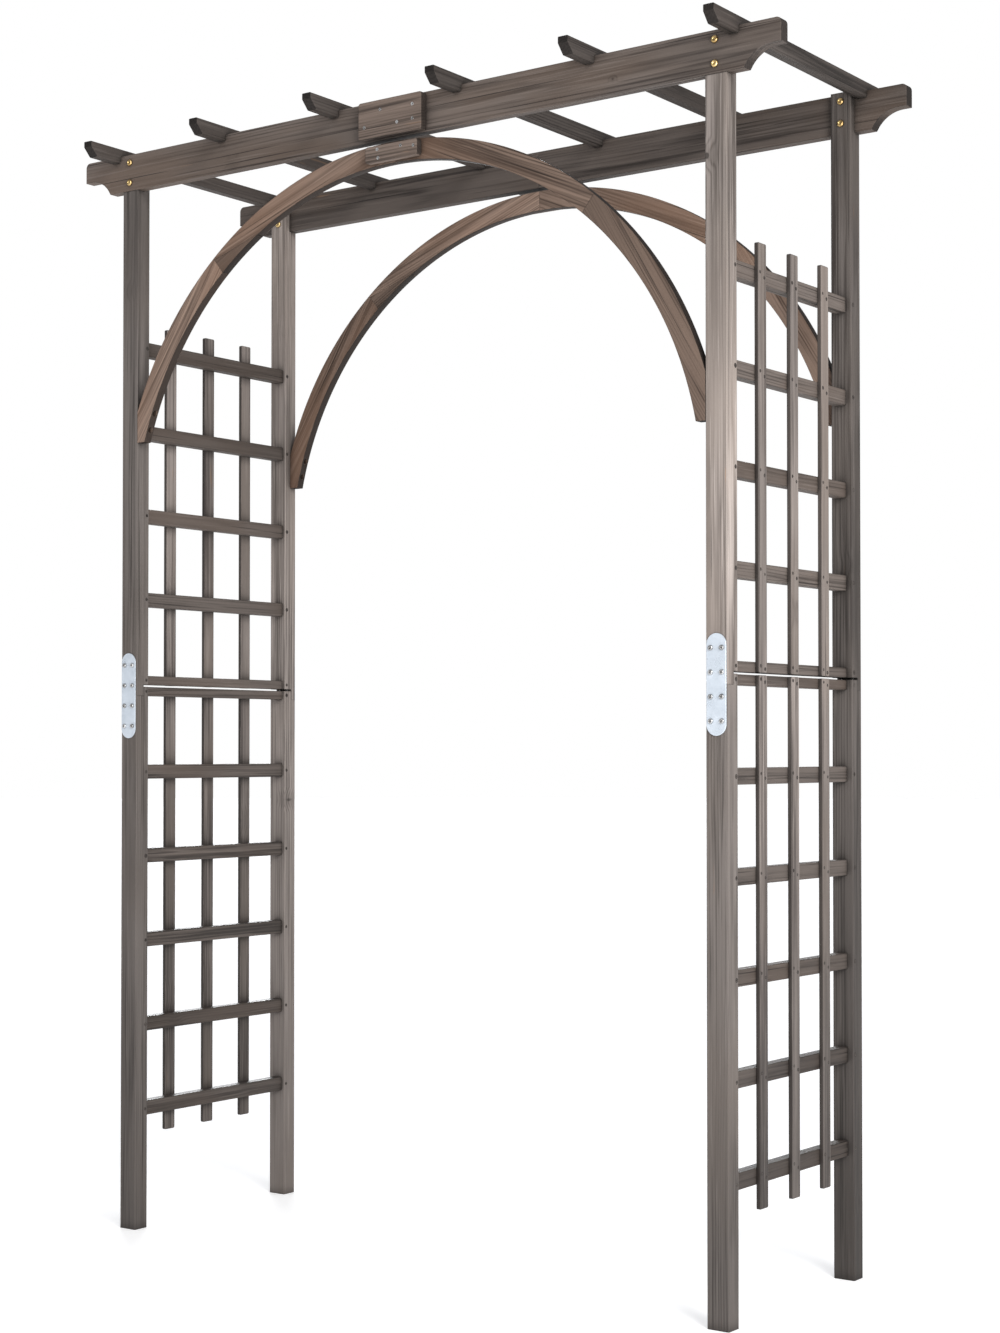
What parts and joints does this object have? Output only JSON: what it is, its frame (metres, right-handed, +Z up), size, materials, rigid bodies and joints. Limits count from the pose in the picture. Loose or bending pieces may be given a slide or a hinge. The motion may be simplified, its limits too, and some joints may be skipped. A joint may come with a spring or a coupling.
{
  "type": "garden arch with trellis sides",
  "caption": "Free-standing timber garden arch with trellis side panels, coved top beams, notched rafters and curved braces, in bolted and plated halves.",
  "frame": {"origin": "on the ground, in the middle of the four posts", "axes": "+X along the beams to the right, +Y from the front to the rear, +Z up"},
  "size_m": [1.588, 0.641, 2.14],
  "materials": {
    "post_timber": "grey-brown stain, weathered, open grain",
    "beam_timber": "darker brown stain, weathered",
    "rafter_timber": "grey-brown stain, weathered",
    "arch_timber": "warm brown stain, weathered",
    "splice_timber": "grey-brown stain, eased edges",
    "rung_timber": "grey-brown stain, weathered",
    "slat_timber": "grey-brown stain, weathered",
    "galvanised_plate": "galvanised, dull, blue-grey",
    "screw_steel": "zinc-plated, dulled",
    "brass_hardware": "yellow-plated, slightly dulled"
  },
  "bodies": {
    "root": {"arch_screws": "screw_steel", "beam_bolts": "brass_hardware", "beam_nuts": "brass_hardware", "front_arch_lower_left": "arch_timber", "front_arch_lower_right": "arch_timber", "front_arch_splice_plate": "splice_timber", "front_arch_upper_left": "arch_timber", "front_arch_upper_right": "arch_timber", "front_arch_wedge": "arch_timber", "front_beam_left": "beam_timber", "front_beam_right": "beam_timber", "front_beam_splice_plate": "splice_timber", "front_left_mending_plate": "galvanised_plate", "front_left_post_lower": "post_timber", "front_left_post_upper": "post_timber", "front_right_mending_plate": "galvanised_plate", "front_right_post_lower": "post_timber", "front_right_post_upper": "post_timber", "left_rungs_lower": "rung_timber", "left_rungs_upper": "rung_timber", "left_slat_front_lower": "slat_timber", "left_slat_front_upper": "slat_timber", "left_slat_middle_lower": "slat_timber", "left_slat_middle_upper": "slat_timber", "left_slat_rear_lower": "slat_timber", "left_slat_rear_upper": "slat_timber", "mending_plate_screws": "screw_steel", "rafter_1": "rafter_timber", "rafter_2": "rafter_timber", "rafter_3": "rafter_timber", "rafter_4": "rafter_timber", "rafter_5": "rafter_timber", "rafter_6": "rafter_timber", "rafter_screws": "screw_steel", "rear_arch_lower_left": "arch_timber", "rear_arch_lower_right": "arch_timber", "rear_arch_splice_plate": "splice_timber", "rear_arch_upper_left": "arch_timber", "rear_arch_upper_right": "arch_timber", "rear_arch_wedge": "arch_timber", "rear_beam_left": "beam_timber", "rear_beam_right": "beam_timber", "rear_beam_splice_plate": "splice_timber", "rear_left_mending_plate": "galvanised_plate", "rear_left_post_lower": "post_timber", "rear_left_post_upper": "post_timber", "rear_right_mending_plate": "galvanised_plate", "rear_right_post_lower": "post_timber", "rear_right_post_upper": "post_timber", "right_rungs_lower": "rung_timber", "right_rungs_upper": "rung_timber", "right_slat_front_lower": "slat_timber", "right_slat_front_upper": "slat_timber", "right_slat_middle_lower": "slat_timber", "right_slat_middle_upper": "slat_timber", "right_slat_rear_lower": "slat_timber", "right_slat_rear_upper": "slat_timber", "rung_screws": "screw_steel", "slat_pins": "screw_steel", "splice_screws": "screw_steel"}
  },
  "joints": []
}
